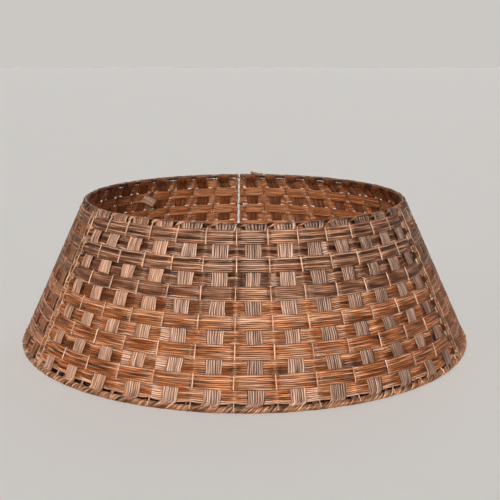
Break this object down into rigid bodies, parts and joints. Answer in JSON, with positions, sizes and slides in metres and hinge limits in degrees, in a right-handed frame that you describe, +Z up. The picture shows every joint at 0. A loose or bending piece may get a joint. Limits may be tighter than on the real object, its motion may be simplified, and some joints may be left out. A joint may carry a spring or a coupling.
{
  "type": "christmas tree collar",
  "caption": "Woven wicker collar of curved panels, a low cone open at both ends, that stands round the foot of a tree and hides its stand.",
  "frame": {"origin": "on the floor, at the middle of the ring", "axes": "+Z up; -Y towards the middle of the front panel; +X towards the right panel"},
  "size_m": [0.698, 0.6973, 0.221],
  "materials": {
    "weft_strand": "flat fibre strand, caramel brown, lightly varnished",
    "dark_weft_strand": "flat fibre strand, dark brown, lightly varnished",
    "band_strand": "broad flat fibre strand, grey brown with a silky sheen",
    "stake_wire": "wire covered in pale tan",
    "seam_cord": "thin twisted cord, matt",
    "tie_strap": "dark strap with a pale square head"
  },
  "bodies": {
    "front_panel": {"front_wire_frame": "stake_wire", "front_bands": "band_strand", "front_weft_01": "dark_weft_strand", "front_weft_02": "dark_weft_strand", "front_weft_03": "dark_weft_strand", "front_weft_04": "dark_weft_strand", "front_weft_05": "dark_weft_strand", "front_weft_06": "weft_strand", "front_weft_07": "weft_strand", "front_weft_08": "weft_strand", "front_weft_09": "weft_strand", "front_weft_10": "weft_strand", "front_weft_11": "weft_strand", "front_weft_12": "weft_strand", "left_seam_loop_1": "seam_cord", "left_seam_loop_2": "seam_cord", "left_seam_loop_3": "seam_cord", "right_seam_loop_1": "seam_cord", "right_seam_loop_2": "seam_cord", "right_seam_loop_3": "seam_cord"},
    "right_panel": {"right_wire_frame": "stake_wire", "right_bands": "band_strand", "right_weft_01": "dark_weft_strand", "right_weft_02": "dark_weft_strand", "right_weft_03": "dark_weft_strand", "right_weft_04": "dark_weft_strand", "right_weft_05": "dark_weft_strand", "right_weft_06": "weft_strand", "right_weft_07": "weft_strand", "right_weft_08": "weft_strand", "right_weft_09": "weft_strand", "right_weft_10": "weft_strand", "right_weft_11": "weft_strand", "right_weft_12": "weft_strand", "back_tie": "tie_strap"},
    "left_panel": {"left_wire_frame": "stake_wire", "left_bands": "band_strand", "left_weft_01": "dark_weft_strand", "left_weft_02": "dark_weft_strand", "left_weft_03": "dark_weft_strand", "left_weft_04": "dark_weft_strand", "left_weft_05": "dark_weft_strand", "left_weft_06": "weft_strand", "left_weft_07": "weft_strand", "left_weft_08": "weft_strand", "left_weft_09": "weft_strand", "left_weft_10": "weft_strand", "left_weft_11": "weft_strand", "left_weft_12": "weft_strand"}
  },
  "joints": [
    {"name": "right_seam", "type": "hinge", "parent": "front_panel", "child": "right_panel", "pos_m": [0.30347, -0.16828, 0.00447], "axis": [0.3703, -0.205, -0.906], "range_deg": [0, 100]},
    {"name": "left_seam", "type": "hinge", "parent": "front_panel", "child": "left_panel", "pos_m": [-0.30347, -0.16828, 0.00447], "axis": [0.3703, 0.205, 0.906], "range_deg": [0, 100]}
  ]
}
